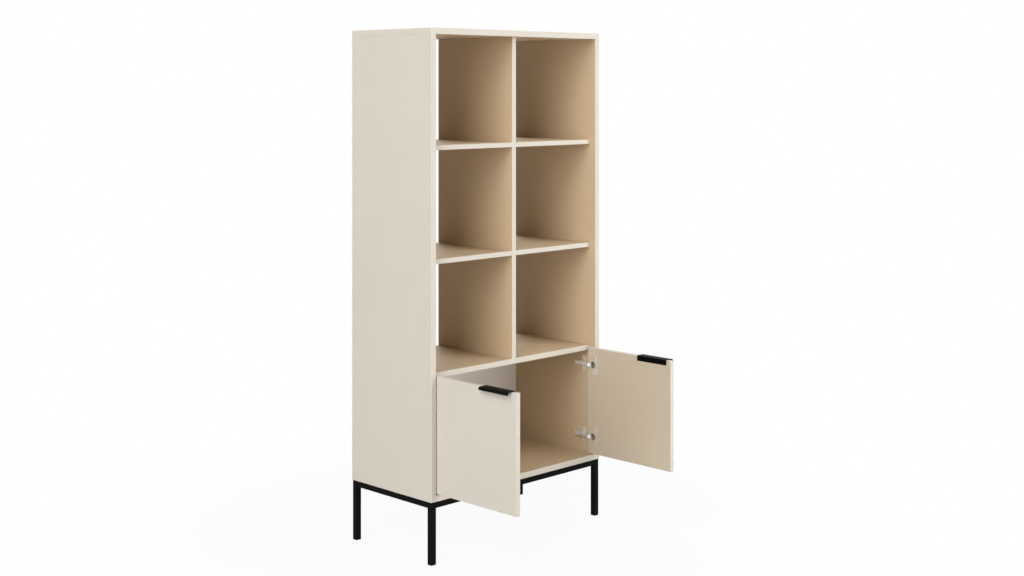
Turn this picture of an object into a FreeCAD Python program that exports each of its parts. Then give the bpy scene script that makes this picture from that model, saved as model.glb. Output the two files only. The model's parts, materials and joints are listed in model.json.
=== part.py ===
import FreeCAD, Part
import math
import os

# A tall bookcase of lacquered board on a square-tube base, with open compartments above and a cabinet
# with two inset doors below. Millimetres, +X to the right, +Y to the back, +Z up. The origin is on the
# floor, under the middle of the body. The doors are drawn open, as they stand at rest.

V = FreeCAD.Vector
UP = V(0, 0, 1)
RIGHT = V(1, 0, 0)
BACK = V(0, 1, 0)
PARALLEL_COSINE = 0.999

# Body and boards
body_width = 800.0
body_depth = 400.0
body_height = 1510.0
board_thickness = 20.0
divider_thickness = 18.0
cabinet_top_thickness = 18.0
shelf_thickness = 16.0
front_setback = 28.0
cabinet_height = 366.0
lower_row_height = 348.0
middle_row_height = 350.0
edge_bevel = 1.0

# Dowels that hold the boards together
dowel_radius = 4.0
dowel_clearance = 0.05
dowel_end_play = 1.0
dowel_skin = 8.0
dowel_in_edge = 23.0
dowel_edge_distance = 60.0
dowels_per_joint = 3
dowels_per_shelf_end = 2

# Back panel of the cabinet, let into a rebate and screwed
back_thickness = 3.0
back_lap = 9.0
back_clearance = 0.3
back_screws_across = 5
back_screws_up = 2
back_screw_inset = 60.0
back_screw_head_radius = 3.0
back_screw_head_height = 1.6
back_screw_radius = 1.5
back_screw_length = 16.0

# Square-tube base
base_height = 200.0
tube_size = 20.0
tube_wall = 1.5
tube_corner_radius = 1.5
frame_inset = 2.0
foot_thickness = 2.0
foot_stub_height = 14.0
foot_stub_clearance = 0.2
corner_plate_size = 46.0
corner_plate_thickness = 3.0
corner_plate_cut = 20.0
frame_screw_from_rail = 16.0
frame_screw_head_radius = 4.0
frame_screw_head_height = 2.4
frame_screw_radius = 2.0
frame_screw_length = 15.0

# Doors
door_gap = 4.0
door_thickness = 16.0
door_top_reveal = 6.0
door_open_angle = 90.0

# Edge pulls hooked over the top of the doors
handle_length = 128.0
handle_thickness = 1.6
handle_from_free_edge = 19.0
handle_flange_height = 17.0
handle_reach = 20.0
handle_lip_straight = 2.2
handle_lip_inside = 6.2
handle_fold_inside = 0.4
handle_screw_inset = 16.0
handle_screw_drop = 9.0
handle_screw_head_radius = 3.0
handle_screw_head_height = 1.6
handle_screw_radius = 1.5
handle_screw_length = 11.0

# Cup hinges, one pivot each
hinge_from_door_end = 60.0
pivot_from_edge = 8.5
pivot_from_face = 8.5
pin_radius = 1.25
pin_seat_clearance = 0.02
pin_running_clearance = 0.06
eye_wall = 1.1
eye_clearance = 2.5
cup_from_pivot = 14.5
cup_radius = 13.0
cup_wall = 1.0
cup_floor_clearance = 1.1
cup_clearance = 0.1
cup_rim_width = 1.5
flange_thickness = 1.2
flange_width = 18.5
flange_ear = 17.5
flange_corner_radius = 2.0
cheek_thickness = 2.0
cup_screw_from_cup = 10.0
cup_screw_from_centre = 9.0
cup_screw_head_radius = 3.4
cup_screw_head_height = 1.8
cup_screw_radius = 1.75
cup_screw_length = 12.0
arm_width = 14.0
arm_thickness = 2.0
arm_side_play = 0.5
arm_height = 13.0
arm_channel_length = 54.5
arm_flange_thickness = 1.5
arm_bend_inside = 2.0
hook_clearance = 4.8
hook_behind_door = 3.0
hook_slope = 7.0
plate_behind_door = 35.5
plate_span = 51.0
plate_wing_width = 16.5
plate_thickness = 3.0
plate_corner_radius = 2.0
plate_bar_inset = 2.0
plate_bar_play = 0.3
plate_screw_inset = 12.9
plate_screw_head_radius = 3.5
plate_screw_head_height = 1.8
plate_screw_radius = 2.5
plate_screw_length = 14.0
arm_screw_from_front = 17.0
arm_screw_head_radius = 3.2
arm_screw_head_height = 1.4
arm_screw_radius = 1.75
arm_screw_length = 9.0

# Cross recess in every screw head, and the play of a screw in its hole
recess_width = 0.7
recess_reach_share = 0.6
recess_depth_share = 0.6
screw_clearance = 0.05

# Heights and planes that follow from the sizes above
front = -body_depth / 2
back = body_depth / 2
half_width = body_width / 2
side_inner = half_width - board_thickness
body_bottom = base_height
cabinet_floor = body_bottom + board_thickness
cabinet_top_under = cabinet_floor + cabinet_height
cabinet_top_upper = cabinet_top_under + cabinet_top_thickness
lower_shelf_under = cabinet_top_upper + lower_row_height
lower_shelf_upper = lower_shelf_under + shelf_thickness
upper_shelf_under = lower_shelf_upper + middle_row_height
body_top = body_bottom + body_height
top_under = body_top - board_thickness
shelf_front = front + front_setback
divider_half = divider_thickness / 2

door_edge = -side_inner + door_gap
door_width = side_inner - 1.5 * door_gap
door_bottom = cabinet_floor + door_gap
door_top = cabinet_top_upper - door_top_reveal
door_back = front + door_thickness
pivot = V(door_edge + pivot_from_edge, front + pivot_from_face, 0)
hinge_heights = {"upper": door_top - hinge_from_door_end, "lower": door_bottom + hinge_from_door_end}

eye_radius = pin_radius + pin_running_clearance + eye_wall
eye_room = eye_radius + eye_clearance
cup_centre_x = pivot.x + cup_from_pivot
cup_floor = pivot.y - eye_radius - cup_floor_clearance
cup_depth = door_back - cup_floor + cup_wall
flange_top = door_back + flange_thickness
flange_half_length = cup_radius + flange_ear
cheek_start = arm_width / 2 + arm_side_play
cheek_end = cheek_start + cheek_thickness
hook_x = pivot.x + door_thickness - pivot_from_face + flange_thickness + hook_clearance
arm_x = -side_inner + arm_height
hook_back = door_back + hook_behind_door
arm_front = hook_back + (hook_x - arm_x)
arm_back = arm_front + arm_channel_length
arm_top = arm_x + arm_thickness / 2
plate_top = -side_inner + plate_thickness
plate_y = door_back + plate_behind_door


def span(start, end, inset, count):
    """Evenly spaced places between two ends, the first and last one inset from them."""
    first = start + inset
    step = (end - start - 2 * inset) / max(count - 1, 1)
    return [first + i * step for i in range(count)]


def box(x0, x1, y0, y1, z0, z1):
    return Part.makeBox(x1 - x0, y1 - y0, z1 - z0, V(x0, y0, z0))


def board(x0, x1, y0, y1, z0, z1):
    """A board with a small bevel along every edge."""
    solid = box(x0, x1, y0, y1, z0, z1)
    return solid.makeChamfer(edge_bevel, solid.Edges)


def edges_along(solid, direction):
    """The straight edges that run along a direction."""
    found = []
    for edge in solid.Edges:
        if abs(edge.tangentAt(edge.FirstParameter).dot(direction)) > PARALLEL_COSINE:
            found.append(edge)
    return found


def rod(start, direction, length, radius):
    return Part.makeCylinder(radius, length, start, direction)


def placed(shape, point, direction):
    """A shape drawn along +Z, moved to a point and turned to a direction."""
    shape.Placement = FreeCAD.Placement(point, FreeCAD.Rotation(UP, direction))
    return shape


def cross_recess(radius, depth, seat):
    """Two crossed slots that sink into a screw head from its outer face."""
    long = box(-radius, radius, -recess_width / 2, recess_width / 2, seat, seat + depth)
    wide = box(-recess_width / 2, recess_width / 2, -radius, radius, seat, seat + depth)
    return long.fuse(wide)


def pan_screw(point, direction, head_radius, head_height, radius, length):
    """A screw whose head stands on the surface at point, driven along direction."""
    head = rod(V(0, 0, -head_height), UP, head_height, head_radius)
    crown = [edge for edge in head.Edges if edge.BoundBox.ZMax < -head_height / 2]
    head = head.makeFillet(head_height / 2, crown)
    shank = rod(V(0, 0, 0), UP, length, radius)
    recess = cross_recess(head_radius * recess_reach_share, head_height * recess_depth_share, -head_height)
    return placed(head.fuse(shank).removeSplitter().cut(recess), point, direction)


def countersunk_screw(point, direction, head_radius, head_height, radius, length):
    """A screw whose head lies flush with the surface at point, driven along direction."""
    head = Part.makeCone(head_radius, radius, head_height)
    shank = rod(V(0, 0, head_height), UP, length - head_height, radius)
    recess = cross_recess(head_radius * recess_reach_share, head_height * recess_depth_share, 0)
    return placed(head.fuse(shank).removeSplitter().cut(recess), point, direction)


def screw_hole(point, direction, radius, length):
    """The hole that a screw's shank turns in."""
    start = point - direction * screw_clearance
    return rod(start, direction, length + 2 * screw_clearance, radius + screw_clearance)


def rounded_path(points, radii):
    """Straight runs through points, joined by tangent arcs of the given radii."""
    edges = []
    here = points[0]
    for before, corner, after, radius in zip(points, points[1:], points[2:], radii):
        to_start = (before - corner).normalize()
        to_end = (after - corner).normalize()
        half_turn = to_start.getAngle(to_end) / 2
        start = corner + to_start * (radius / math.tan(half_turn))
        end = corner + to_end * (radius / math.tan(half_turn))
        inward = (to_start + to_end).normalize()
        middle = corner + inward * (radius / math.sin(half_turn) - radius)
        edges.append(Part.LineSegment(here, start).toShape())
        edges.append(Part.Arc(start, middle, end).toShape())
        here = end
    edges.append(Part.LineSegment(here, points[-1]).toShape())
    return edges


def bent_strip(points, inside_radii, thickness, normal, width):
    """A strip bent along a path in a plane, thick in that plane and wide along its normal."""
    half = thickness / 2
    runs = [(after - before).normalize() for before, after in zip(points, points[1:])]
    turns = [before.cross(after).dot(normal) for before, after in zip(runs, runs[1:])]
    faces = []
    for side in (1, -1):
        corners = []
        for point, behind, ahead in zip(points, runs[:1] + runs, runs + runs[-1:]):
            across = (normal.cross(behind) + normal.cross(ahead)).normalize()
            corners.append(point + across * (side * half / across.dot(normal.cross(ahead))))
        radii = [
            radius if turn * side > 0 else radius + thickness
            for radius, turn in zip(inside_radii, turns)
        ]
        faces.append((corners, rounded_path(corners, radii)))
    (left, left_edges), (right, right_edges) = faces
    ends = [Part.LineSegment(left[i], right[i]).toShape() for i in (0, -1)]
    outline = Part.Wire(Part.__sortEdges__(left_edges + right_edges + ends))
    return Part.Face(outline).extrude(normal * width)


def mirrored(shape):
    """The same piece for the right-hand side."""
    return shape.mirror(V(0, 0, 0), RIGHT)


def opened(shape):
    """A piece of the left door, swung open about the hinge pins."""
    turned = shape.copy()
    turned.rotate(pivot, UP, -door_open_angle)
    return turned


def group(solids):
    return Part.makeCompound(solids)


def dowel_pair(joint, direction, into_face, into_edge):
    """A dowel across a joint, into a face along direction and back into an edge, and the hole for it."""
    start = joint - direction * into_edge
    length = into_face + into_edge
    pin = rod(start, direction, length, dowel_radius)
    hole_start = start - direction * dowel_end_play
    hole = rod(hole_start, direction, length + 2 * dowel_end_play, dowel_radius + dowel_clearance)
    return pin, hole


def dowel_row(joints, direction, face_thickness):
    """Dowels and holes at several places of one joint between an edge and a face."""
    pairs = [dowel_pair(joint, direction, face_thickness - dowel_skin, dowel_in_edge) for joint in joints]
    return [pair[0] for pair in pairs], [pair[1] for pair in pairs]


nodes = {}

# Carcass dowels: the sides stand between the bottom and the top
carcass_places = span(front, back, dowel_edge_distance, dowels_per_joint)
side_middle = half_width - board_thickness / 2
top_joints = [V(s * side_middle, y, top_under) for s in (-1, 1) for y in carcass_places]
bottom_joints = [V(s * side_middle, y, cabinet_floor) for s in (-1, 1) for y in carcass_places]
top_dowels, top_holes = dowel_row(top_joints, UP, board_thickness)
bottom_dowels, bottom_holes = dowel_row(bottom_joints, -UP, board_thickness)

# Dowels at the ends of the cabinet top, the divider and the shelves
inner_places = span(shelf_front, back, dowel_edge_distance, dowels_per_joint)
shelf_places = span(shelf_front, back, dowel_edge_distance, dowels_per_shelf_end)
cabinet_top_middle = (cabinet_top_under + cabinet_top_upper) / 2
shelf_middles = [z + shelf_thickness / 2 for z in (lower_shelf_under, upper_shelf_under)]
cabinet_dowels, cabinet_holes = [], []
shelf_dowels, shelf_holes = [], []
for s in (-1, 1):
    ends = [V(s * side_inner, y, cabinet_top_middle) for y in inner_places]
    pins, holes = dowel_row(ends, RIGHT * s, board_thickness)
    cabinet_dowels += pins
    cabinet_holes += holes
    ends = [V(s * side_inner, y, z) for z in shelf_middles for y in shelf_places]
    pins, holes = dowel_row(ends, RIGHT * s, board_thickness)
    shelf_dowels += pins
    shelf_holes += holes
for z in shelf_middles:
    for y in shelf_places:
        through = divider_half + dowel_in_edge
        pin, hole = dowel_pair(V(0, y, z), RIGHT, through, through)
        shelf_dowels.append(pin)
        shelf_holes.append(hole)
divider_top, divider_top_holes = dowel_row([V(0, y, top_under) for y in inner_places], UP, board_thickness)
divider_foot, divider_foot_holes = dowel_row(
    [V(0, y, cabinet_top_upper) for y in inner_places], -UP, cabinet_top_thickness
)
divider_holes = divider_top_holes + divider_foot_holes

nodes["top_dowels"] = group(top_dowels)
nodes["bottom_dowels"] = group(bottom_dowels)
nodes["cabinet_top_dowels"] = group(cabinet_dowels)
nodes["divider_dowels"] = group(divider_top + divider_foot)
nodes["shelf_dowels"] = group(shelf_dowels)

# Back panel of the cabinet and its rebate, which runs round the back edges of the four boards about it
back_face = back - back_thickness
rebate = box(
    -side_inner - back_lap,
    side_inner + back_lap,
    back_face,
    back + back_thickness,
    cabinet_floor - back_lap,
    cabinet_top_under + back_lap,
)
back_panel = box(
    -side_inner - back_lap + back_clearance,
    side_inner + back_lap - back_clearance,
    back_face,
    back,
    cabinet_floor - back_lap + back_clearance,
    cabinet_top_under + back_lap - back_clearance,
)
lap_middle = back_lap / 2
across = span(-side_inner, side_inner, back_screw_inset, back_screws_across)
upward = span(cabinet_floor, cabinet_top_under, back_screw_inset, back_screws_up)
lap_heights = (cabinet_floor - lap_middle, cabinet_top_under + lap_middle)
back_screw_points = [V(x, back, z) for x in across for z in lap_heights]
back_screw_points += [V(s * (side_inner + lap_middle), back, z) for s in (-1, 1) for z in upward]
back_screw_size = (back_screw_head_radius, back_screw_head_height, back_screw_radius, back_screw_length)
back_screws = [countersunk_screw(point, -BACK, *back_screw_size) for point in back_screw_points]
back_holes = [screw_hole(point, -BACK, back_screw_radius, back_screw_length) for point in back_screw_points]
sink_mouth = back_screw_head_radius + screw_clearance
sink_end = back_screw_radius + screw_clearance
back_sinks = [
    placed(Part.makeCone(sink_mouth, sink_end, back_screw_head_height), point, -BACK)
    for point in back_screw_points
]
nodes["cabinet_back_panel"] = back_panel.cut(back_holes + back_sinks)
nodes["back_screws"] = group(back_screws)


def hinge_cup(z):
    """The cup in the left door with its flange, and the nose whose two cheeks hold the pin."""
    centre = V(cup_centre_x, door_back, z)
    bottom = centre - BACK * cup_depth
    shell = rod(bottom, BACK, cup_depth, cup_radius)
    nose = box(pivot.x - eye_room - cup_wall, cup_centre_x, bottom.y, door_back, z - cheek_end, z + cheek_end)
    rim = rod(centre, BACK, flange_thickness, cup_radius + cup_rim_width)
    flange = box(
        cup_centre_x,
        cup_centre_x + flange_width,
        door_back,
        flange_top,
        z - flange_half_length,
        z + flange_half_length,
    )
    flange = flange.makeFillet(flange_corner_radius, edges_along(flange, BACK))
    bowl = rod(V(cup_centre_x, cup_floor, z), BACK, 2 * cup_depth, cup_radius - cup_wall)
    slot = box(
        pivot.x - eye_room,
        cup_centre_x,
        cup_floor,
        cup_floor + 2 * cup_depth,
        z - cheek_start,
        z + cheek_start,
    )
    pin_hole = rod(V(pivot.x, pivot.y, z - cheek_end), UP, 2 * cheek_end, pin_radius + pin_seat_clearance)
    cup = shell.fuse([nose, rim, flange]).removeSplitter()
    return cup.cut([bowl, slot, pin_hole] + cup_screw_holes(z))


def cup_screw_points(z):
    x = cup_centre_x + cup_screw_from_centre
    return [V(x, flange_top, z + s * (cup_radius + cup_screw_from_cup)) for s in (-1, 1)]


def cup_screw_holes(z):
    points = cup_screw_points(z)
    return [screw_hole(point, -BACK, cup_screw_radius, cup_screw_length) for point in points]


def cup_bore(z):
    """The round pocket that the cup sits in, with a slot for its nose."""
    depth = cup_depth + cup_clearance
    pocket = rod(V(cup_centre_x, door_back - depth, z), BACK, 2 * depth, cup_radius + cup_clearance)
    nose_slot = box(
        pivot.x - eye_room - cup_wall - cup_clearance,
        cup_centre_x,
        door_back - depth,
        door_back + depth,
        z - cheek_end - cup_clearance,
        z + cheek_end + cup_clearance,
    )
    return pocket.fuse(nose_slot)


def hinge_pin(z):
    return rod(V(pivot.x, pivot.y, z - cheek_end), UP, 2 * cheek_end, pin_radius)


def hinge_arm(z):
    """The arm on the left side: an eye on the pin, a sloped hook past the door and a channel behind it."""
    low = z - arm_width / 2
    run_y = pivot.y - eye_radius + arm_thickness / 2
    path = [
        V(pivot.x, run_y, low),
        V(hook_x - hook_slope, run_y, low),
        V(hook_x, run_y + hook_slope, low),
        V(hook_x, hook_back, low),
        V(arm_x, arm_front, low),
        V(arm_x, arm_back, low),
    ]
    strip = bent_strip(path, [arm_bend_inside] * 4, arm_thickness, UP, arm_width)
    eye = rod(V(pivot.x, pivot.y, low), UP, arm_width, eye_radius)
    flanges = []
    for s in (-1, 1):
        near, far = sorted((z + s * (arm_width / 2 - arm_flange_thickness), z + s * arm_width / 2))
        flanges.append(box(plate_top, arm_top, arm_front, arm_back, near, far))
    bore = rod(V(pivot.x, pivot.y, low), UP, arm_width, pin_radius + pin_running_clearance)
    return strip.fuse([eye] + flanges).removeSplitter().cut([bore, arm_screw_hole(z)])


def arm_screw_point(z):
    return V(arm_top, arm_front + arm_screw_from_front, z)


def arm_screw_hole(z):
    return screw_hole(arm_screw_point(z), -RIGHT, arm_screw_radius, arm_screw_length)


def hinge_plate(z):
    """The mounting plate: two wings screwed to the side, and a bar that the arm's channel sits on."""
    half = plate_span / 2
    wing_half = plate_wing_width / 2
    wings = box(-side_inner, plate_top, plate_y - wing_half, plate_y + wing_half, z - half, z + half)
    wings = wings.makeFillet(plate_corner_radius, edges_along(wings, RIGHT))
    bar_half = arm_width / 2 - arm_flange_thickness - plate_bar_play
    bar = box(
        -side_inner,
        arm_top - arm_thickness,
        arm_front + plate_bar_inset,
        arm_back - plate_bar_inset,
        z - bar_half,
        z + bar_half,
    )
    return wings.fuse(bar).removeSplitter().cut(plate_screw_holes(z) + [arm_screw_hole(z)])


def plate_screw_points(z):
    return [V(plate_top, plate_y, z + s * (plate_span / 2 - plate_screw_inset)) for s in (-1, 1)]


def plate_screw_holes(z):
    points = plate_screw_points(z)
    return [screw_hole(point, -RIGHT, plate_screw_radius, plate_screw_length) for point in points]


# Left hinges, and the right ones as their mirror image
cup_screw_size = (cup_screw_head_radius, cup_screw_head_height, cup_screw_radius, cup_screw_length)
plate_screw_size = (
    plate_screw_head_radius,
    plate_screw_head_height,
    plate_screw_radius,
    plate_screw_length,
)
arm_screw_size = (arm_screw_head_radius, arm_screw_head_height, arm_screw_radius, arm_screw_length)
cup_screws, plate_screws, arm_screws = [], [], []
door_cuts, side_cuts = [], []
for place, z in hinge_heights.items():
    pieces = {
        "hinge_plate": hinge_plate(z),
        "hinge_arm": hinge_arm(z),
        "hinge_cup": opened(hinge_cup(z)),
        "hinge_pin": opened(hinge_pin(z)),
    }
    for name, piece in pieces.items():
        nodes["left_" + place + "_" + name] = piece
        nodes["right_" + place + "_" + name] = mirrored(piece)
    cup_screws += [opened(pan_screw(point, -BACK, *cup_screw_size)) for point in cup_screw_points(z)]
    plate_screws += [pan_screw(point, -RIGHT, *plate_screw_size) for point in plate_screw_points(z)]
    arm_screws.append(pan_screw(arm_screw_point(z), -RIGHT, *arm_screw_size))
    door_cuts += [cup_bore(z)] + cup_screw_holes(z)
    side_cuts += plate_screw_holes(z)
nodes["hinge_plate_screws"] = group(plate_screws + [mirrored(screw) for screw in plate_screws])
nodes["hinge_arm_screws"] = group(arm_screws + [mirrored(screw) for screw in arm_screws])
nodes["left_cup_screws"] = group(cup_screws)
nodes["right_cup_screws"] = group([mirrored(screw) for screw in cup_screws])

# Boards of the body
left_side = board(-half_width, -side_inner, front, back, cabinet_floor, top_under)
left_side = left_side.cut([rebate] + back_holes + side_cuts)
left_side = left_side.cut(top_holes + bottom_holes + cabinet_holes + shelf_holes)
nodes["left_side_panel"] = left_side
nodes["right_side_panel"] = mirrored(left_side)
top_panel = board(-half_width, half_width, front, back, top_under, body_top)
nodes["top_panel"] = top_panel.cut(top_holes + divider_top_holes)

# Square-tube base: four legs with rails between them, close under the body
frame_x = half_width - frame_inset
frame_y = body_depth / 2 - frame_inset
rail_bottom = body_bottom - tube_size


def tube(x0, x1, y0, y1, z0, z1, along):
    """A square tube with rounded long edges, open at both ends."""
    outer = box(x0, x1, y0, y1, z0, z1)
    outer = outer.makeFillet(tube_corner_radius, edges_along(outer, along))
    wall = V(tube_wall, tube_wall, tube_wall) - along * (2 * tube_wall)
    inner = box(x0 + wall.x, x1 - wall.x, y0 + wall.y, y1 - wall.y, z0 + wall.z, z1 - wall.z)
    return outer.cut(inner)


feet, corner_plates, frame_screws, frame_holes = [], [], [], []
frame_screw_size = (
    frame_screw_head_radius,
    frame_screw_head_height,
    frame_screw_radius,
    frame_screw_length,
)
plate_under = body_bottom - corner_plate_thickness
corner_plate_short = corner_plate_size - corner_plate_cut
for x_name, sx in (("left", -1), ("right", 1)):
    for y_name, sy in (("front", -1), ("back", 1)):
        x0, x1 = sorted((sx * frame_x, sx * (frame_x - tube_size)))
        y0, y1 = sorted((sy * frame_y, sy * (frame_y - tube_size)))
        nodes[y_name + "_" + x_name + "_leg"] = tube(x0, x1, y0, y1, foot_thickness, body_bottom, UP)
        pad = box(x0, x1, y0, y1, 0, foot_thickness)
        pad = pad.makeFillet(tube_corner_radius, edges_along(pad, UP))
        gap = tube_wall + foot_stub_clearance
        stub_top = foot_thickness + foot_stub_height
        stub = box(x0 + gap, x1 - gap, y0 + gap, y1 - gap, foot_thickness, stub_top)
        feet.append(pad.fuse(stub))
        corner = V(sx * (frame_x - tube_size), sy * (frame_y - tube_size), plate_under)
        inward_x = RIGHT * -sx
        inward_y = BACK * -sy
        outline = [
            corner,
            corner + inward_x * corner_plate_size,
            corner + inward_x * corner_plate_size + inward_y * corner_plate_short,
            corner + inward_x * corner_plate_short + inward_y * corner_plate_size,
            corner + inward_y * corner_plate_size,
            corner,
        ]
        point = corner + (inward_x + inward_y) * frame_screw_from_rail
        hole = screw_hole(point, UP, frame_screw_radius, frame_screw_length)
        corner_plate = Part.Face(Part.makePolygon(outline)).extrude(UP * corner_plate_thickness)
        corner_plates.append(corner_plate.cut(hole))
        frame_screws.append(pan_screw(point, UP, *frame_screw_size))
        frame_holes.append(hole)
inner_x = frame_x - tube_size
inner_y = frame_y - tube_size
nodes["front_rail"] = tube(-inner_x, inner_x, -frame_y, -inner_y, rail_bottom, body_bottom, RIGHT)
nodes["back_rail"] = tube(-inner_x, inner_x, inner_y, frame_y, rail_bottom, body_bottom, RIGHT)
nodes["left_rail"] = tube(-frame_x, -inner_x, -inner_y, inner_y, rail_bottom, body_bottom, BACK)
nodes["right_rail"] = tube(inner_x, frame_x, -inner_y, inner_y, rail_bottom, body_bottom, BACK)
nodes["foot_plugs"] = group(feet)
nodes["frame_corner_plates"] = group(corner_plates)
nodes["frame_screws"] = group(frame_screws)

bottom_panel = board(-half_width, half_width, front, back, body_bottom, cabinet_floor)
nodes["bottom_panel"] = bottom_panel.cut([rebate] + bottom_holes + back_holes + frame_holes)

# Divider and shelves inside the body
cabinet_top = board(-side_inner, side_inner, shelf_front, back, cabinet_top_under, cabinet_top_upper)
nodes["cabinet_top_shelf"] = cabinet_top.cut([rebate] + cabinet_holes + divider_foot_holes + back_holes)
divider = board(-divider_half, divider_half, shelf_front, back, cabinet_top_upper, top_under)
nodes["centre_divider"] = divider.cut(divider_holes + shelf_holes)
for level, under in (("lower", lower_shelf_under), ("upper", upper_shelf_under)):
    shelf = board(-side_inner, -divider_half, shelf_front, back, under, under + shelf_thickness)
    shelf = shelf.cut(shelf_holes)
    nodes[level + "_left_shelf"] = shelf
    nodes[level + "_right_shelf"] = mirrored(shelf)

# Left door with its edge pull, and the right door as its mirror image
door_free = door_edge + door_width
handle_end = door_free - handle_from_free_edge
handle_start = handle_end - handle_length
half_sheet = handle_thickness / 2
lip_bottom = door_top - handle_lip_inside - handle_lip_straight
handle_path = [
    V(handle_start, door_back + half_sheet, door_top - handle_flange_height),
    V(handle_start, door_back + half_sheet, door_top + half_sheet),
    V(handle_start, front - handle_reach + half_sheet, door_top + half_sheet),
    V(handle_start, front - handle_reach + half_sheet, lip_bottom),
]
handle_bends = [handle_fold_inside, handle_lip_inside]
handle = bent_strip(handle_path, handle_bends, handle_thickness, RIGHT, handle_length)
handle_screw_points = [
    V(x, door_back + handle_thickness, door_top - handle_screw_drop)
    for x in (handle_start + handle_screw_inset, handle_end - handle_screw_inset)
]
handle_screw_size = (
    handle_screw_head_radius,
    handle_screw_head_height,
    handle_screw_radius,
    handle_screw_length,
)
handle_holes = [
    screw_hole(point, -BACK, handle_screw_radius, handle_screw_length) for point in handle_screw_points
]
handle_screws = group([pan_screw(point, -BACK, *handle_screw_size) for point in handle_screw_points])
door = board(door_edge, door_free, front, door_back, door_bottom, door_top).cut(door_cuts + handle_holes)
for name, piece in (("door", door), ("handle", handle.cut(handle_holes)), ("handle_screws", handle_screws)):
    nodes["left_" + name] = opened(piece)
    nodes["right_" + name] = mirrored(opened(piece))

os.makedirs("parts", exist_ok=True)
for name, shape in nodes.items():
    shape.exportStep("parts/" + name + ".step")
    print(name, "solids", len(shape.Solids), "valid", shape.isValid(), "volume", round(shape.Volume, 1))
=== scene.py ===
import json
import math

import bmesh
import bpy
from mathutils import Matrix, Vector

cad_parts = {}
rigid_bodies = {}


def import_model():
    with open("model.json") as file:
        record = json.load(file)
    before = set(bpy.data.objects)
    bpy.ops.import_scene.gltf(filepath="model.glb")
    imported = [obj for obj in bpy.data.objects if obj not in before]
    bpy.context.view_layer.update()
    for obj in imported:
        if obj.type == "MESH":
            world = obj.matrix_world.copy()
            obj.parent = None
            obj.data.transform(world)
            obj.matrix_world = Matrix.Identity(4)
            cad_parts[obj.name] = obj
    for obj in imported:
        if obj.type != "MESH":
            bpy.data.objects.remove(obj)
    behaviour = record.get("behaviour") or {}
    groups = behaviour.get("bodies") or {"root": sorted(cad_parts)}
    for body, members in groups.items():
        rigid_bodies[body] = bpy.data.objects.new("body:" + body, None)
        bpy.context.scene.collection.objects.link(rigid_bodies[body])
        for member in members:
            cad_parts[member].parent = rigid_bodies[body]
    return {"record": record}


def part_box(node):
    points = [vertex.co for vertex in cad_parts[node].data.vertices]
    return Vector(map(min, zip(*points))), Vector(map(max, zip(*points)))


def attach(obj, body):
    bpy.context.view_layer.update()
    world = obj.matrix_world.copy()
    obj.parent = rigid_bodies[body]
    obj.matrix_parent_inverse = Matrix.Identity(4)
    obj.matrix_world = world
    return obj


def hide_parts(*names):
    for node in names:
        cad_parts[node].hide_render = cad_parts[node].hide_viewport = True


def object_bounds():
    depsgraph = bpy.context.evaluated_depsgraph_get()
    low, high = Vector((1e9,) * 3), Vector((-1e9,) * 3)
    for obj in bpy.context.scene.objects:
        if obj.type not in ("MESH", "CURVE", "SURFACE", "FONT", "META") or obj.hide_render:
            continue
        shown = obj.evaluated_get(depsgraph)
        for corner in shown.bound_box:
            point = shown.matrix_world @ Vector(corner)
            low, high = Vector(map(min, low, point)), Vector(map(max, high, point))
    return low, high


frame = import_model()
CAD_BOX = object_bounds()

bl_info = {
    "name": "Bookcase with cabinet doors",
    "version": (1, 0, 0),
    "blender": (4, 5, 0),
    "location": "3D View > Sidebar > Bookcase",
    "description": "Finishes, edge pulls, hinge parts and a white studio for a tall bookcase",
    "category": "Object",
}

SLOT_OF = {part["node"]: part["material_slot"] for part in frame["record"]["subparts"]}
LEVELS = ("upper", "lower")
SIDES = ("left", "right")
DOORS = tuple(side + "_door" for side in SIDES)
# Side of a board, along its thickness, that looks into the body; the other boards look in on both sides
INNER_SIDE = {
    "left_side_panel": 1,
    "right_side_panel": -1,
    "top_panel": -1,
    "bottom_panel": 1,
    "left_door": 1,
    "right_door": -1,
}

# Two places closer than this count as one
SAME_PLACE = 1e-5
# Edges that turn by more than the first angle are eased, and by less than the second are shaded smooth
EASED_FROM = math.radians(50)
SMOOTH_BELOW = math.radians(40)
# The hinge arm's bends, and how far its end curls round the pin
ARM_BEND = math.radians(45)
EYE_TURN = math.radians(300)
EYE_STEPS = 18

# How many fine patches of the lacquer's mottling lie across a broad one, their share of it and their seed
FINE_PER_PATCH = 12
FINE_SHARE = 0.3
FINE_SEED = 0.5
# How far the lacquer's roughness drifts to either side
ROUGHNESS_DRIFT = 0.06
# Share of the fibre, beside the broad patches, in the tone of the back film
FIBRE_SHARE = 0.4
# Platings: the brushing's stretch along X, Y and Z, the range of roughness and the share of mirror shine
NICKEL = {"brushing": (1.0, 0.1, 1.0), "dull": (0.28, 0.36), "mirror": 0.6}
ZINC = {"brushing": (1.0, 1.0, 0.3), "dull": (0.3, 0.38), "mirror": 0.8}
# First seed of the pulls' coats
PULL_SEED = 20

# Softboxes: degrees round from the front to the right, degrees up, then distance, width and height in metres
LAMPS = {
    "left": (-67, 27, 9.0, 5.0, 10.0),
    "right": (28, 32, 3.6, 1.8, 1.8),
    "front": (13, -2, 3.4, 2.2, 1.4),
    "back": (155, 36, 9.0, 4.3, 4.3),
}
# The floor's width, its tone, and the distances between which its shadow fades to plain white
FLOOR_WIDTH = 30
FLOOR_TONE = (0.7, 0.7, 0.7, 1)
SHADOW_START = 0.5
SHADOW_END = 1.6
WHITE = (1, 1, 1, 1)
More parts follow.
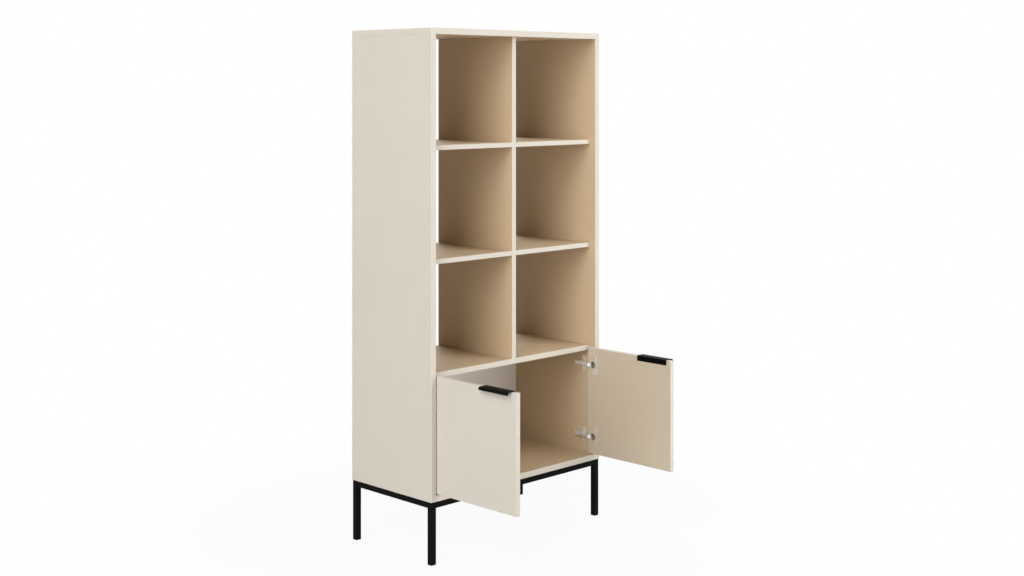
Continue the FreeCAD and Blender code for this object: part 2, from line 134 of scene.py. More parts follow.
# The photograph's level camera, solved from the corners of the body and turned to the right
CAMERA_PLACE = (-3.54403, -3.70531, 1.52517)
CAMERA_TURN = math.radians(-45)
CAMERA_SENSOR = 36
CAMERA_LENS = 52.09
CAMERA_SHIFT = -0.19755
CAMERA_REACH = 100


# Kinds of settings

def srgb(red, green, blue):
    """A colour in display steps of 0 to 255, as the linear values that sockets take."""
    shares = [step / 255 for step in (red, green, blue)]
    return tuple(s / 12.92 if s <= 0.04045 else ((s + 0.055) / 1.055) ** 2.4 for s in shares)


def colour(name, description, steps):
    return bpy.props.FloatVectorProperty(
        name=name, description=description, subtype="COLOR", size=3, min=0, max=1, default=srgb(*steps)
    )


def length(name, description, default):
    return bpy.props.FloatProperty(
        name=name, description=description, unit="LENGTH", precision=5, min=0, default=default
    )


def share(name, description, default):
    return bpy.props.FloatProperty(
        name=name, description=description, subtype="FACTOR", min=0, max=1, default=default
    )


def power(name, description, default):
    return bpy.props.FloatProperty(
        name=name, description=description, unit="POWER", min=0, default=default
    )


# Sizes and colours that a user may change

class BoardLook(bpy.types.PropertyGroup):
    cream: colour("Cream", "Lacquer on the outer faces and the edges", (213, 206, 193))
    # Inner cream and door lining cream are painted shade: darker, warmer copies of the cream for the inner
    # faces and the door linings, which lie in shade
    inner_cream: colour("Inner cream", "Warmer lacquer on the faces inside the body", (200, 177, 146))
    door_cream: colour("Door lining cream", "Lacquer on the inner faces of the doors", (199, 185, 164))
    # The arris cream is partly lacquer thinned on the edges and partly a painted highlight where the edges
    # catch light
    arris_cream: colour("Arris cream", "Lacquer where it thins along the eased edges", (222, 216, 205))
    film: colour("Back film", "Film on the thin back panel", (244, 241, 236))
    roughness: share("Roughness", "How dull the satin lacquer is", 0.5)
    mottle: share("Mottling", "How far the lacquer's tone drifts across a board", 0.03)
    mottle_size: length("Mottling size", "Width of a patch of one tone", 0.18)
    peel_size: length("Peel size", "Width of one dimple of the sprayed surface", 0.0022)
    peel_depth: length("Peel depth", "Depth of a dimple", 0.000012)
    edge_width: length("Edge width", "How far the lighter tone runs in from an edge", 0.0016)


class MetalLook(bpy.types.PropertyGroup):
    coat: colour("Black coat", "Powder coat on the tubes and pulls", (12, 12, 12))
    coat_edge: colour("Coat on edges", "Powder coat where it thins on an edge", (20, 20, 20))
    coat_grain: length("Coat grain", "Width of one grain of the powder coat", 0.0009)
    coat_depth: length("Coat depth", "Height of a grain", 0.00002)
    nickel: colour("Nickel", "Plating on the hinges", (240, 238, 233))
    # The hinge cup's dark tone is painted shade that deepens down into the cups
    cup_painted_shade: colour("Hinge bowl", "Dull plating down in the hinge cups", (150, 138, 121))
    zinc: colour("Zinc", "Plating on the screws", (218, 215, 209))
    plastic: colour("Plastic", "Moulded feet", (22, 22, 22))
    beech: colour("Beech", "Dowels", (205, 168, 118))


class PullSize(bpy.types.PropertyGroup):
    sheet: length("Sheet", "Thickness of the folded sheet", 0.0016)
    fold: length("Fold radius", "Inside radius of the fold over the door's inner edge", 0.0004)
    lip: length("Lip radius", "Inside radius of the curled lip", 0.0062)
    lip_straight: length("Lip straight", "Straight end of the lip below its curl", 0.0022)
    corner: length("Corner radius", "Rounding of the outline's corners", 0.0015)
    ease: length("Eased edge", "Rounding of the sheet's sharp edges", 0.0003)


class HingeSize(bpy.types.PropertyGroup):
    sheet: length("Arm sheet", "Thickness of the arm's pressed steel", 0.0011)
    hook: length("Hook length", "Length of the arm's hook past the door's edge", 0.01255)
    slope: length("Hook slope", "Reach of the sloped end of the hook that dips into the cup", 0.00727)
    bend: length("Bend radius", "Middle radius of the arm's bends", 0.0026)
    rise: length("Channel height", "Height of the channel's outside above the plate's wings", 0.011)
    channel_fold: length("Channel fold", "Middle radius of the channel's long folds", 0.0013)
    channel_taper: length("Channel taper", "How far the channel's walls slope back at the front", 0.005)
    plate: length("Plate thickness", "Thickness of the plate's wings", 0.003)
    wing: length("Wing width", "Width of the plate's two wings", 0.0165)
    wing_from_bar: length("Wing place", "Middle of the wings, from the front end of the bar", 0.0175)
    bar: length("Bar width", "Width of the bar that the channel sits on", 0.0104)
    wing_corner: length("Wing corner", "Rounding of the wings' ends", 0.002)
    ease: length("Eased edge", "Rounding of the sharp edges", 0.0003)


class StudioLook(bpy.types.PropertyGroup):
    left: power("Left lamp", "Power of the tall softbox at the front left", 830)
    right: power("Right lamp", "Power of the softbox high at the front right", 47)
    front: power("Front lamp", "Power of the low softbox at the front", 37)
    back: power("Back lamp", "Power of the softbox behind", 290)
    ambient: share("Ambient", "Strength of the even light from all round", 0.03)
    shadow: share("Floor shadow", "How far the white floor takes the shadow of the object", 0.06)


# Shader helpers

def fill(tree, socket, value):
    """Links a socket to another node's output, or sets it to a constant."""
    if isinstance(value, bpy.types.NodeSocket):
        tree.links.new(value, socket)
    else:
        socket.default_value = value


def add_node(tree, kind, inputs=None, **options):
    """Adds a shader node, sets its options, and fills its inputs by name or number."""
    made = tree.nodes.new("ShaderNode" + kind)
    for option, value in options.items():
        setattr(made, option, value)
    for socket, value in (inputs or {}).items():
        fill(tree, made.inputs[socket], value)
    return made


def feed(tree, shader, **values):
    """Fills the inputs of a shader, whose names are written with _ for a space."""
    for name, value in values.items():
        fill(tree, shader.inputs[name.replace("_", " ")], value)


def maths(tree, operation, a, b):
    return add_node(tree, "Math", {0: a, 1: b}, operation=operation).outputs[0]


def vector_maths(tree, operation, a, b=(0, 0, 0)):
    return add_node(tree, "VectorMath", {0: a, 1: b}, operation=operation).outputs[0]


def noise(tree, coords, size, seed=0.0, detail=2.0):
    """Noise from 0 to 1 whose patches are about size metres across."""
    inputs = {"Vector": coords, "W": seed, "Scale": 1 / size, "Detail": detail}
    return add_node(tree, "TexNoise", inputs, noise_dimensions="4D").outputs[0]


def ranged(tree, value, low=0.0, high=1.0, start=0.0, end=1.0):
    """A value from start to end, spread smoothly over low to high."""
    inputs = {"Value": value, "From Min": start, "From Max": end, "To Min": low, "To Max": high}
    return add_node(tree, "MapRange", inputs, interpolation_type="SMOOTHSTEP").outputs[0]


def tint(tree, factor, a, b):
    """A colour between a and b, each a colour or an output; the mixer's colour sockets are 6, 7 and 2."""
    ends = [tone if isinstance(tone, bpy.types.NodeSocket) else (*tone, 1) for tone in (a, b)]
    return add_node(tree, "Mix", {0: factor, 6: ends[0], 7: ends[1]}, data_type="RGBA").outputs[2]


def scaled(tree, tone, factor):
    """A colour made darker or lighter by a factor."""
    return add_node(tree, "VectorMath", {"Vector": tone, "Scale": factor}, operation="SCALE").outputs[0]


def darkened(tone, strength):
    """A colour at a share of its strength."""
    return tuple(part * strength for part in tone)


def stretched(tree, coords, factors):
    """Coordinates pulled so that a pattern runs longer along the axes with small factors."""
    return add_node(tree, "Mapping", {"Vector": coords, "Scale": factors}).outputs[0]


def split(tree, vector):
    """The parts of a vector along X, Y and Z."""
    return add_node(tree, "SeparateXYZ", {0: vector}).outputs[:]


def relief(tree, shader, height, depth):
    """Bump from a height of 0 to 1 that stands depth metres high."""
    bump = add_node(tree, "Bump", {"Height": height, "Distance": depth, "Strength": 1.0})
    feed(tree, shader, Normal=bump.outputs[0])


def box_depths(tree, coords, corners):
    """How far a point lies inside the faces of a box-shaped piece, along X, Y and Z."""
    low, high = corners
    from_middle = vector_maths(tree, "ABSOLUTE", vector_maths(tree, "SUBTRACT", coords, (low + high) / 2))
    return split(tree, vector_maths(tree, "SUBTRACT", (high - low) / 2, from_middle))


def edge_nearness(tree, depths, width):
    """1 on the edges of a box-shaped piece, falling to 0 at width from them."""
    x, y, z = depths
    smallest = maths(tree, "MINIMUM", maths(tree, "MINIMUM", x, y), z)
    largest = maths(tree, "MAXIMUM", maths(tree, "MAXIMUM", x, y), z)
    total = maths(tree, "ADD", maths(tree, "ADD", x, y), z)
    middle = maths(tree, "SUBTRACT", maths(tree, "SUBTRACT", total, smallest), largest)
    return ranged(tree, middle, low=1.0, high=0.0, end=width)


def inner_face(tree, coords, depths, corners, side, margin):
    """1 on the wide faces of a board that look inwards: both, or the one on the given side."""
    low, high = corners
    size = high - low
    thin = list(size).index(min(size))
    first, second = (depths[axis] for axis in range(3) if axis != thin)
    wide = ranged(tree, maths(tree, "MINIMUM", first, second), start=margin / 2, end=margin)
    if not side:
        return wide
    place = split(tree, coords)[thin]
    middle = (low[thin] + high[thin]) / 2
    beyond = maths(tree, "GREATER_THAN", maths(tree, "MULTIPLY", place, side), middle * side)
    return maths(tree, "MULTIPLY", wide, beyond)


# Finishes

def new_finish(name):
    """A material with its tree, its shader and the coordinates of the piece that carries it."""
    material = bpy.data.materials.new(name)
    material.use_nodes = True
    tree = material.node_tree
    shader = tree.nodes["Principled BSDF"]
    coords = add_node(tree, "TexCoord").outputs["Object"]
    return material, tree, shader, coords


def paint(name, material):
    """Gives a node or a piece one material all over."""
    slots = bpy.data.objects[name].data.materials
    slots.clear()
    slots.append(material)


def nodes_in_slot(slot):
    return sorted(name for name, held in SLOT_OF.items() if held == slot)


def cream_lacquer(look, name, seed):
    """Sprayed satin lacquer on one board, with painted shade as a darker, warmer tone on its inner faces,
    and lighter along its eased edges, partly thinned lacquer and partly a painted highlight.
    """
    material, tree, shader, coords = new_finish("cream_lacquer_" + name)
    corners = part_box(name)
    depths = box_depths(tree, coords, corners)
    # Inward faces take a painted shade tone in place of the cream
    painted_shade_tone = look.door_cream if name in DOORS else look.inner_cream
    inside = inner_face(tree, coords, depths, corners, INNER_SIDE.get(name, 0), look.edge_width)
    faces = tint(tree, inside, look.cream, painted_shade_tone)
    # Lighter edges: partly thinned lacquer, partly a painted highlight
    edges = edge_nearness(tree, depths, look.edge_width)
    wear = ranged(tree, noise(tree, coords, size=0.012, seed=seed), low=0.4)
    lacquer = tint(tree, maths(tree, "MULTIPLY", edges, wear), faces, look.arris_cream)
    patches = noise(tree, coords, look.mottle_size, seed)
    fine = noise(tree, coords, look.mottle_size / FINE_PER_PATCH, seed + FINE_SEED)
    cloud = tint(tree, FINE_SHARE, patches, fine)
    drift = ranged(tree, cloud, 1 - look.mottle / 2, 1 + look.mottle / 2, start=0.25, end=0.75)
    feed(tree, shader, Base_Color=scaled(tree, lacquer, drift), Specular_IOR_Level=0.15)
    dull = ranged(tree, fine, look.roughness - ROUGHNESS_DRIFT, look.roughness + ROUGHNESS_DRIFT)
    feed(tree, shader, Roughness=dull)
    relief(tree, shader, noise(tree, coords, look.peel_size, seed, detail=3.0), look.peel_depth)
    return material


def back_film(look):
    """Pale film with a faint pressed fibre on the thin back panel."""
    material, tree, shader, coords = new_finish("back_film")
    upright = stretched(tree, coords, factors=(1.0, 1.0, 0.12))
    fibre = noise(tree, upright, size=0.0012, seed=3.0, detail=4.0)
    patches = noise(tree, coords, look.mottle_size)
    blend = ranged(tree, tint(tree, FIBRE_SHARE, patches, fibre), start=0.3, end=0.7)
    feed(tree, shader, Base_Color=tint(tree, blend, darkened(look.film, strength=0.94), look.film))
    feed(tree, shader, Roughness=ranged(tree, fibre, low=0.5, high=0.62))
    relief(tree, shader, fibre, depth=0.00002)
    return material


def black_coat(look, name, seed):
    """Fine black powder coat, thinner on the edges."""
    material, tree, shader, coords = new_finish("black_coat_" + name)
    grain = noise(tree, coords, look.coat_grain, seed, detail=3.0)
    specks = ranged(tree, grain, start=0.3, end=0.75)
    speckled = tint(tree, specks, darkened(look.coat, strength=0.7), look.coat)
    edges = edge_nearness(tree, box_depths(tree, coords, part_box(name)), width=0.0012)
    wear = ranged(tree, noise(tree, coords, size=0.006, seed=seed), low=0.2)
    coat = tint(tree, maths(tree, "MULTIPLY", edges, wear), speckled, look.coat_edge)
    feed(tree, shader, Base_Color=coat, Specular_IOR_Level=0.04)
    feed(tree, shader, Roughness=ranged(tree, grain, low=0.42, high=0.6))
    relief(tree, shader, grain, look.coat_depth)
    return material


def plated_metal(name, plating, brushing, dull, mirror, cup_painted_shade=None):
    """Bright plating over steel, with fine lines along the brushing and a share of mirror shine.

    A cup shade is painted shade: a dark tone that deepens down in a hinge cup; with it come the place of the
    cup's rim along X and the side the cup opens to.
    """
    material, tree, shader, coords = new_finish(name)
    lines = noise(tree, stretched(tree, coords, brushing), size=0.0008, seed=1.0, detail=4.0)
    cloud = noise(tree, coords, size=0.01, seed=2.0)
    stains = ranged(tree, cloud, start=0.25, end=0.7)
    tone = tint(tree, stains, darkened(plating, strength=0.88), plating)
    # Painted shade: the plating darkens towards the dark tone with depth down into the cup
    if cup_painted_shade:
        dark, rim, side = cup_painted_shade
        into_cup = maths(tree, "SUBTRACT", rim, split(tree, coords)[0])
        depth = maths(tree, "MULTIPLY", into_cup, side)
        tone = tint(tree, ranged(tree, depth, end=0.004), tone, dark)
    feed(tree, shader, Base_Color=tone, Metallic=mirror)
    feed(tree, shader, Roughness=ranged(tree, cloud, *dull))
    relief(tree, shader, lines, depth=0.000003)
    return material


def moulded_plastic(look):
    """Spark-textured black plastic."""
    material, tree, shader, coords = new_finish("moulded_plastic")
    pits = noise(tree, coords, size=0.0007, seed=4.0, detail=3.0)
    tone = tint(tree, pits, darkened(look.plastic, strength=0.75), look.plastic)
    feed(tree, shader, Base_Color=tone, Specular_IOR_Level=0.3)
    feed(tree, shader, Roughness=ranged(tree, pits, low=0.55, high=0.75))
    relief(tree, shader, pits, depth=0.00003)
    return material


def beech_grain(look):
    """Plain beech with short flecks."""
    material, tree, shader, coords = new_finish("beech_grain")
    along = stretched(tree, coords, factors=(0.2, 1.0, 0.2))
    flecks = noise(tree, along, size=0.0012, seed=5.0, detail=4.0)
    tone = tint(tree, flecks, darkened(look.beech, strength=0.72), look.beech)
    feed(tree, shader, Base_Color=tone, Roughness=0.6)
    relief(tree, shader, flecks, depth=0.00003)
    return material


# Modelling by hand

def clear_selection():
    bpy.ops.object.select_all(action="DESELECT")


def select_only(piece):
    clear_selection()
    piece.select_set(True)
    bpy.context.view_layer.objects.active = piece


def newest(name):
    """The piece that the last operator made, under its own name."""
    piece = bpy.context.active_object
    piece.name = name
    piece.data.name = name
    return piece


def settle():
    """Puts the selected piece's place, turn and scale into its mesh."""
    bpy.ops.object.transform_apply(location=True, rotation=True, scale=True)


def edit(piece):
    """Opens one piece in edit mode."""
    select_only(piece)
    bpy.ops.object.mode_set(mode="EDIT")


def done():
    bpy.ops.object.mode_set(mode="OBJECT")


def pick(kind, test):
    """Selects only the vertices, edges or faces of the open piece whose middle passes a test."""
    bpy.ops.mesh.select_mode(type={"verts": "VERT", "edges": "EDGE", "faces": "FACE"}[kind])
    bpy.ops.mesh.select_all(action="DESELECT")
    mesh = bpy.context.edit_object.data
    shape = bmesh.from_edit_mesh(mesh)
    for element in getattr(shape, kind):
        corners = [element] if kind == "verts" else element.verts
        middle = sum((corner.co for corner in corners), Vector()) / len(corners)
        if test(middle):
            element.select_set(True)
    shape.select_flush_mode()
    bmesh.update_edit_mesh(mesh)


def near(a, b):
    """Whether two places along an axis are the same."""
    return abs(a - b) < SAME_PLACE


def extrude(x, y, z):
    """Pulls what is selected out along a way, and leaves the new end selected."""
    bpy.ops.mesh.extrude_region_move(TRANSFORM_OT_translate={"value": (x, y, z)})


def bevel_picked(radius, segments, affect="EDGES"):
    bpy.ops.mesh.bevel(offset=radius, segments=segments, affect=affect, clamp_overlap=True)


def merge_doubles():
    bpy.ops.mesh.select_all(action="SELECT")
    bpy.ops.mesh.remove_doubles(threshold=SAME_PLACE)


def face_outwards():
    bpy.ops.mesh.select_all(action="SELECT")
    bpy.ops.mesh.normals_make_consistent(inside=False)


def modify(piece, kind, **settings):
    """Adds a modifier to the active piece and applies it."""
    bpy.ops.object.modifier_add(type=kind)
    modifier = piece.modifiers[-1]
    for name, value in settings.items():
        setattr(modifier, name, value)
    bpy.ops.object.modifier_apply(modifier=modifier.name)


def thicken(piece, thickness):
    """Gives a folded sheet its thickness, half to each side."""
    modify(piece, "SOLIDIFY", thickness=thickness, offset=0, use_even_offset=True)


def ease_edges(piece, radius):
    """Rounds the sharp edges of the active piece a little."""
    modify(piece, "BEVEL", width=radius, segments=2, limit_method="ANGLE", angle_limit=EASED_FROM)


def smooth(piece):
    """Smooth shading that keeps flat faces flat."""
    select_only(piece)
    bpy.ops.object.shade_smooth_by_angle(angle=SMOOTH_BELOW)
    modify(piece, "WEIGHTED_NORMAL", keep_sharp=True)


def copy_of(piece, name, lower=0.0, mirror=False):
    """A copy with its own mesh, moved down or mirrored to the right-hand side."""
    select_only(piece)
    bpy.ops.object.duplicate()
    made = newest(name)
    made.location.z = -lower
    made.scale.x = -1 if mirror else 1
    settle()
    if mirror:
        edit(made)
        merge_doubles()
        face_outwards()
        done()
    return made


def upright_plane(name, x, y_range, z_range):
    """A plane that stands across X, as the start of a folded sheet."""
    clear_selection()
    middle = (x, sum(y_range) / 2, sum(z_range) / 2)
    bpy.ops.mesh.primitive_plane_add(size=1, location=middle, rotation=(0, math.radians(90), 0))
    piece = newest(name)
    piece.scale = (z_range[1] - z_range[0], y_range[1] - y_range[0], 1)
    settle()
    return piece


def folded_pull(size, name, corners):
    """An edge pull folded from one sheet: a flange behind the door, a top over it and a curled lip."""
    low, high = corners
    half = size.sheet / 2
    flange_x = high.x - half
    lip_x = low.x + half
    top_z = high.z - half
    lip_bottom = high.z - size.sheet - size.lip - size.lip_straight
    piece = upright_plane(name, flange_x, (low.y, high.y), (low.z, top_z))
    edit(piece)
    # The top and the lip, out from the flange's upper edge
    pick("edges", lambda middle: near(middle.z, top_z))
    extrude(lip_x - flange_x, 0, 0)
    extrude(0, 0, lip_bottom - top_z)
    # The tight fold, the wide curl and the round corners of the outline
    pick("edges", lambda middle: near(middle.z, top_z) and near(middle.x, flange_x))
    bevel_picked(size.fold + half, segments=4)
    pick("edges", lambda middle: near(middle.z, top_z) and near(middle.x, lip_x))
    bevel_picked(size.lip + half, segments=10)
    pick("verts", lambda place: near(place.z, low.z) or near(place.z, lip_bottom))
    bevel_picked(size.corner, segments=4, affect="VERTICES")
    face_outwards()
    done()
    thicken(piece, size.sheet)
    ease_edges(piece, size.ease)
    return piece


def pressed_arm(size, name, corners, pin):
    """A hinge arm pressed from one sheet: an eye round the pin, a hook, a sloped neck and a channel."""
    low, high = corners
    pivot = (pin[0] + pin[1]) / 2
    half = size.sheet / 2
    run_y = low.y + half
    slope_y = run_y + size.slope
    hook_x = high.x - half
    neck_y = run_y + size.hook
    plate_x = low.x
    top_x = plate_x + size.rise - half
    channel_y = neck_y + (hook_x - top_x)
    wall = (high.z - low.z) / 2 - half
    piece = upright_plane(name, top_x, (channel_y, high.y), (pivot.z - wall, pivot.z + wall))
    edit(piece)
    # The neck, the hook and its slope, out from the channel's front edge, and the eye at their end
    pick("edges", lambda middle: near(middle.y, channel_y))
    extrude(hook_x - top_x, neck_y - channel_y, 0)
    extrude(0, slope_y - neck_y, 0)
    extrude(-size.slope, -size.slope, 0)
    extrude(pivot.x - hook_x + size.slope, 0, 0)
    bpy.ops.mesh.spin(steps=EYE_STEPS, angle=EYE_TURN, center=pivot, axis=(0, 0, 1))
    bends = (
        (top_x, channel_y),
        (hook_x, neck_y),
        (hook_x, slope_y),
        (hook_x - size.slope, run_y),
    )
    for x, y in bends:
        pick("edges", lambda middle: near(middle.x, x) and near(middle.y, y))
        bevel_picked(size.bend * math.tan(ARM_BEND / 2), segments=5)
    # The channel's walls, cut back at the front and folded round at the top
    channel_front = channel_y + size.bend
    pick("edges", lambda middle: near(abs(middle.z - pivot.z), wall) and middle.y > channel_front)
    extrude(plate_x - top_x, 0, 0)
    pick("verts", lambda place: near(place.x, plate_x) and place.y < (channel_front + high.y) / 2)
    bpy.ops.transform.translate(value=(0, size.channel_taper, 0))
    pick("edges", lambda middle: near(middle.x, top_x) and near(abs(middle.z - pivot.z), wall))
    bevel_picked(size.channel_fold, segments=4)
    merge_doubles()
    face_outwards()
    done()
    thicken(piece, size.sheet)
    ease_edges(piece, size.ease)
    return piece


def cast_plate(size, name, corners):
    """A cross-shaped mounting plate: two wings on the side panel and a bar for the arm's channel."""
    low, high = corners
    middle_z = (low.z + high.z) / 2
    wing_middle = low.y + size.wing_from_bar
    wing_half = size.wing / 2
    bar_half = size.bar / 2
    wing_top = low.x + size.plate
    clear_selection()
    centre = (low.x + size.plate / 2, wing_middle, middle_z)
    bpy.ops.mesh.primitive_cube_add(size=1, location=centre)
    piece = newest(name)
    piece.scale = (size.plate, size.wing, size.bar)
    settle()
    edit(piece)
    # The bar's two ends, the two wings, then the bar's height
    for start, end in ((wing_middle + wing_half, high.y), (wing_middle - wing_half, low.y)):
        pick("faces", lambda middle: near(middle.y, start))
        extrude(0, end - start, 0)
    for start, end in ((middle_z + bar_half, high.z), (middle_z - bar_half, low.z)):
        pick("faces", lambda middle: near(middle.z, start) and near(middle.y, wing_middle))
        extrude(0, 0, end - start)
    pick("faces", lambda middle: near(middle.x, wing_top) and abs(middle.z - middle_z) < bar_half)
    extrude(high.x - wing_top, 0, 0)
    # The outer corners of the wings
    pick("edges", lambda middle: near(middle.x, centre[0]) and abs(middle.z - middle_z) > size.bar)
    bevel_picked(size.wing_corner, segments=6)
    done()
    ease_edges(piece, size.ease)
    return piece


def fit(piece, body, node):
    """Lets a piece stand for a node and move with its body."""
    smooth(piece)
    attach(piece, body)
    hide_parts(node)


# Studio

def white_seen(tree):
    """1 for rays that come from the camera, a reflection or a see-through surface."""
    path = add_node(tree, "LightPath").outputs
    camera, glossy, through = (path[f"Is {kind} Ray"] for kind in ("Camera", "Glossy", "Transmission"))
    return maths(tree, "MAXIMUM", maths(tree, "MAXIMUM", camera, glossy), through)


def lay_floor(studio):
    """A white floor that takes a soft shadow near the object and is plain white further off."""
    clear_selection()
    bpy.ops.mesh.primitive_plane_add(size=FLOOR_WIDTH, location=(0, 0, 0))
    floor = newest("studio_floor")
    material, tree, shader, coords = new_finish("studio_white")
    feed(tree, shader, Base_Color=FLOOR_TONE, Roughness=0.9, Specular_IOR_Level=0.0)
    distance = add_node(tree, "VectorMath", {0: coords}, operation="LENGTH").outputs["Value"]
    shadow = ranged(tree, distance, low=studio.shadow, high=0.0, start=SHADOW_START, end=SHADOW_END)
    plain = maths(tree, "MULTIPLY", white_seen(tree), maths(tree, "SUBTRACT", 1.0, shadow))
    glow = add_node(tree, "Emission", {"Strength": 1.0})
    mixer = add_node(tree, "MixShader", {0: plain, 1: shader.outputs[0], 2: glow.outputs[0]})
    tree.links.new(mixer.outputs[0], tree.nodes["Material Output"].inputs["Surface"])
    floor.data.materials.append(material)


def light_world(studio):
    """A white world for what is seen, and a little even light on the object."""
    world = bpy.data.worlds.new("studio_world")
    bpy.context.scene.world = world
    world.use_nodes = True
    tree = world.node_tree
    tree.nodes.clear()
    even = add_node(tree, "Background", {"Strength": studio.ambient, "Color": WHITE})
    white = add_node(tree, "Background", {"Strength": 1.0, "Color": WHITE})
    mixer = add_node(tree, "MixShader", {0: white_seen(tree), 1: even.outputs[0], 2: white.outputs[0]})
    add_node(tree, "OutputWorld", {"Surface": mixer.outputs[0]})


def add_lamp(name, place, watts):
    """A softbox that looks at the middle of the object."""
    azimuth, elevation, distance, width, height = place
    turn = math.radians(azimuth)
    rise = math.radians(elevation)
    aim = Vector((0, 0, (CAD_BOX[0][2] + CAD_BOX[1][2]) / 2))
    way = Vector((math.sin(turn) * math.cos(rise), -math.cos(turn) * math.cos(rise), math.sin(rise)))
    lamp = bpy.data.lights.new(name, "AREA")
    lamp.shape = "RECTANGLE"
    lamp.size = width
    lamp.size_y = height
    lamp.energy = watts
    holder = bpy.data.objects.new(name, lamp)
    bpy.context.scene.collection.objects.link(holder)
    holder.location = aim + way * distance
    holder.rotation_euler = (-way).to_track_quat("-Z", "Y").to_euler()
    holder.visible_camera = False


def set_camera(scene):
    """The camera that shows the bookcase as the photograph does."""
    camera = bpy.data.cameras.new("photo_camera")
    camera.sensor_width = CAMERA_SENSOR
    camera.lens = CAMERA_LENS
    camera.shift_y = CAMERA_SHIFT
    camera.clip_end = CAMERA_REACH
    holder = bpy.data.objects.new("photo_camera", camera)
    scene.collection.objects.link(holder)
    holder.location = CAMERA_PLACE
    holder.rotation_euler = (math.radians(90), 0, CAMERA_TURN)
    scene.camera = holder


# Operators

class BOOKCASE_OT_boards(bpy.types.Operator):
    """Lacquers the boards and doors, and gives the back panel its film"""

    bl_idname = "bookcase.boards"
    bl_label = "Lacquer the boards"

    def execute(self, context):
        look = context.scene.bookcase_boards
        for seed, name in enumerate(nodes_in_slot("cream_board")):
            paint(name, cream_lacquer(look, name, seed))
        film = back_film(look)
        for name in nodes_in_slot("back_board"):
            paint(name, film)
        return {"FINISHED"}


class BOOKCASE_OT_base(bpy.types.Operator):
    """Coats the square-tube base black and gives it plastic feet"""

    bl_idname = "bookcase.base"
    bl_label = "Coat the base"

    def execute(self, context):
        look = context.scene.bookcase_metal
        for seed, name in enumerate(nodes_in_slot("black_metal")):
            paint(name, black_coat(look, name, seed))
        feet = moulded_plastic(look)
        for name in nodes_in_slot("black_plastic"):
            paint(name, feet)
        return {"FINISHED"}


class BOOKCASE_OT_hardware(bpy.types.Operator):
    """Plates the hinges and screws, paints shade down in the hinge cups, and gives the dowels their grain"""

    bl_idname = "bookcase.hardware"
    bl_label = "Plate the hardware"

    def execute(self, context):
        look = context.scene.bookcase_metal
        finishes = {
            "hinge_nickel": plated_metal("nickel_plate", look.nickel, **NICKEL),
            "screw_steel": plated_metal("zinc_plate", look.zinc, **ZINC),
            "dowel_wood": beech_grain(look),
        }
        for slot, material in finishes.items():
            for name in nodes_in_slot(slot):
                paint(name, material)
        for side, door in zip(SIDES, DOORS):
            low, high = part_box(door)
            inward = INNER_SIDE[door]
            rim = high.x if inward > 0 else low.x
            # Each door's hinge cups take painted shade down in their hollows
            cup = plated_metal(door + "_cup", look.nickel, **NICKEL, cup_painted_shade=(look.cup_painted_shade, rim, inward))
            for level in LEVELS:
                paint(f"{side}_{level}_hinge_cup", cup)
        return {"FINISHED"}


class BOOKCASE_OT_pulls(bpy.types.Operator):
    """Folds the two edge pulls and coats them black with their screws"""

    bl_idname = "bookcase.pulls"
    bl_label = "Fold the pulls"

    def execute(self, context):
        size = context.scene.bookcase_pulls
        left = folded_pull(size, "left_pull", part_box("left_handle"))
        pulls = {"left": left, "right": copy_of(left, "right_pull", mirror=True)}
        for seed, (side, piece) in enumerate(pulls.items(), PULL_SEED):
            fit(piece, side + "_door", side + "_handle")
            coat = black_coat(context.scene.bookcase_metal, side + "_handle", seed)
            paint(piece.name, coat)
            paint(side + "_handle_screws", coat)
        return {"FINISHED"}


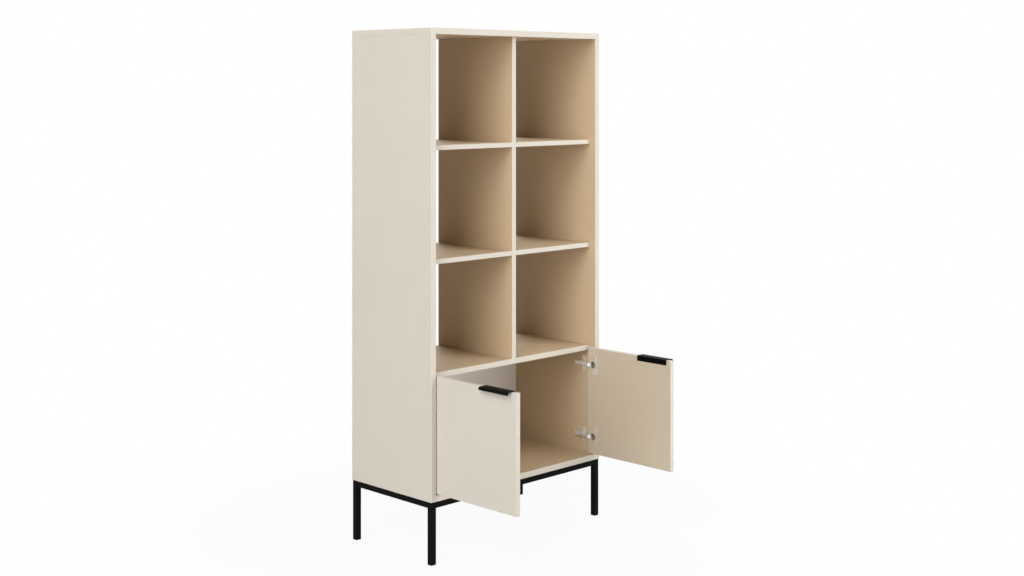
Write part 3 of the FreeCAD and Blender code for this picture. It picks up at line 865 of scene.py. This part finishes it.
class BOOKCASE_OT_hinges(bpy.types.Operator):
    """Presses the hinge arms and casts their mounting plates"""

    bl_idname = "bookcase.hinges"
    bl_label = "Make the hinges"

    def execute(self, context):
        size = context.scene.bookcase_hinges
        first = "left_upper_hinge_"
        plating = bpy.data.objects[first + "arm"].data.materials[0]
        arm = pressed_arm(size, "left_upper_arm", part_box(first + "arm"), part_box(first + "pin"))
        plate = cast_plate(size, "left_upper_plate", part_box(first + "plate"))
        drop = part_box(first + "arm")[0].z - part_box("left_lower_hinge_arm")[0].z
        for kind, model in (("arm", arm), ("plate", plate)):
            made = {"left_upper": model}
            made["left_lower"] = copy_of(model, "left_lower_" + kind, lower=drop)
            for level in LEVELS:
                place = "right_" + level
                made[place] = copy_of(made["left_" + level], f"{place}_{kind}", mirror=True)
            for place, piece in made.items():
                fit(piece, "carcass", f"{place}_hinge_{kind}")
                paint(piece.name, plating)
        return {"FINISHED"}


class BOOKCASE_OT_stage(bpy.types.Operator):
    """Sets the white floor and world, the softboxes and the camera"""

    bl_idname = "bookcase.stage"
    bl_label = "Set the studio"

    def execute(self, context):
        studio = context.scene.bookcase_studio
        lay_floor(studio)
        light_world(studio)
        for name, place in LAMPS.items():
            add_lamp(name + "_softbox", place, getattr(studio, name))
        set_camera(context.scene)
        context.scene.view_settings.view_transform = "Standard"
        return {"FINISHED"}


class BOOKCASE_PT_panel(bpy.types.Panel):
    """Lists the steps and the looks of the bookcase"""

    bl_idname = "BOOKCASE_PT_panel"
    bl_label = "Bookcase"
    bl_space_type = "VIEW_3D"
    bl_region_type = "UI"
    bl_category = "Bookcase"

    def draw(self, context):
        for operator in OPERATORS:
            self.layout.operator(operator.bl_idname)
        for group in LOOKS:
            settings = getattr(context.scene, group)
            for name in settings.bl_rna.properties.keys():
                if name not in ("rna_type", "name"):
                    self.layout.prop(settings, name)


LOOKS = {
    "bookcase_boards": BoardLook,
    "bookcase_metal": MetalLook,
    "bookcase_pulls": PullSize,
    "bookcase_hinges": HingeSize,
    "bookcase_studio": StudioLook,
}
OPERATORS = (
    BOOKCASE_OT_boards,
    BOOKCASE_OT_base,
    BOOKCASE_OT_hardware,
    BOOKCASE_OT_pulls,
    BOOKCASE_OT_hinges,
    BOOKCASE_OT_stage,
)
CLASSES = (*LOOKS.values(), *OPERATORS, BOOKCASE_PT_panel)


def register():
    for made in CLASSES:
        bpy.utils.register_class(made)
    for name, group in LOOKS.items():
        setattr(bpy.types.Scene, name, bpy.props.PointerProperty(type=group))


def unregister():
    for name in LOOKS:
        delattr(bpy.types.Scene, name)
    for made in reversed(CLASSES):
        bpy.utils.unregister_class(made)


def main():
    register()
    bpy.ops.bookcase.boards()
    bpy.ops.bookcase.base()
    bpy.ops.bookcase.hardware()
    bpy.ops.bookcase.pulls()
    bpy.ops.bookcase.hinges()
    bpy.ops.bookcase.stage()


if __name__ == "__main__":
    main()
